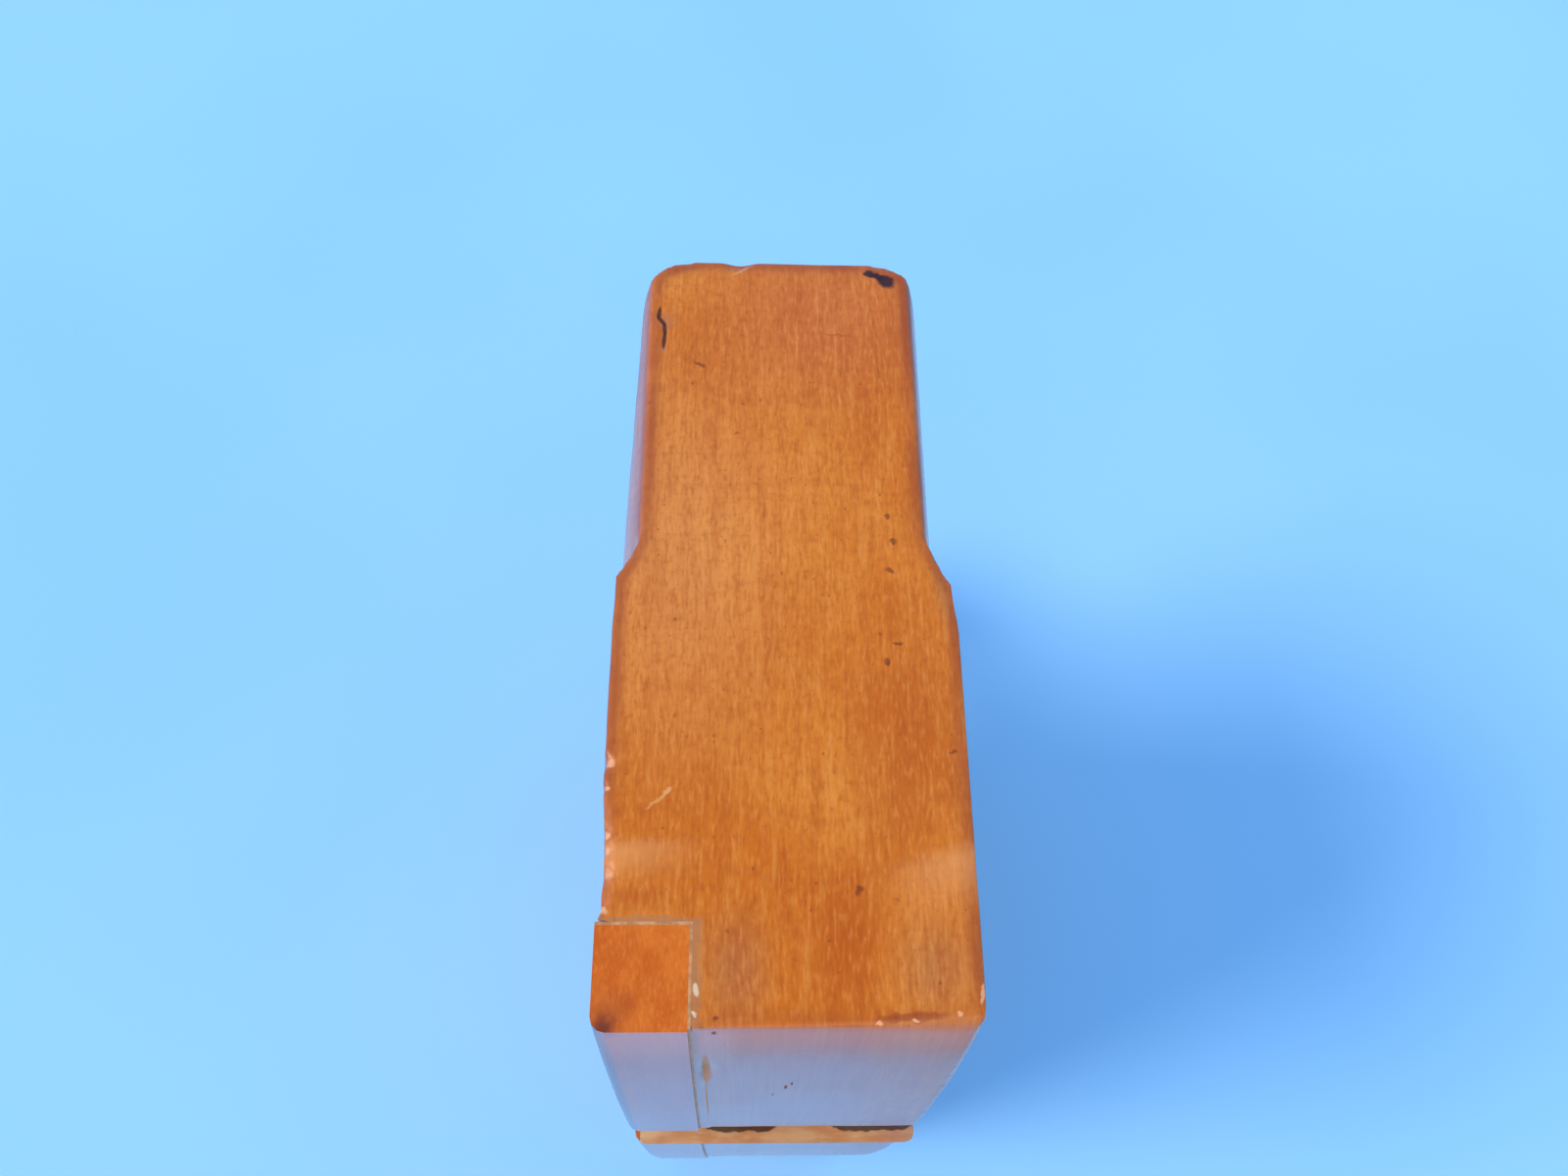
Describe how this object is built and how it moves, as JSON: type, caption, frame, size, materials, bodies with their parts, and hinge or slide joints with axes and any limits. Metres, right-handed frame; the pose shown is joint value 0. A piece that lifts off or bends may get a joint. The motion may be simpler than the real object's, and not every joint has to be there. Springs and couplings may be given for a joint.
{
  "type": "wooden moulding plane",
  "caption": "Short wooden moulding plane with a lengthwise curved sole, a boxed corner, a full-width iron and a wedge, standing on its heel.",
  "frame": {"origin": "middle of the flat heel face that the plane stands on, half way across and half way up the toe's height", "axes": "+Z along the stock from heel to toe, -Y towards the sole, +Y towards the back, +X to the plain side, away from the boxing"},
  "size_m": [0.0319, 0.1143, 0.152],
  "materials": {
    "stock_wood": "varnished and worn",
    "boxing_wood": "varnished",
    "glue": "dried glue",
    "wrought_iron": "brown patina",
    "tool_steel": "ground and tarnished",
    "wedge_wood": "varnished and worn"
  },
  "bodies": {
    "stock": {"stock": "stock_wood", "front_boxing": "boxing_wood", "rear_boxing": "boxing_wood", "front_glue_line": "glue", "rear_glue_line": "glue"},
    "iron": {"plane_iron": "wrought_iron", "steel_facing": "tool_steel"},
    "wedge": {"wedge": "wedge_wood"}
  },
  "joints": [
    {"name": "iron_slide", "type": "slide", "parent": "stock", "child": "iron", "axis": [0, -0.866, 0.5], "range_m": [-0.0025, 0.135]},
    {"name": "wedge_slide", "type": "slide", "parent": "stock", "child": "wedge", "axis": [0, 0.866, -0.5], "range_m": [0, 0.07]}
  ]
}
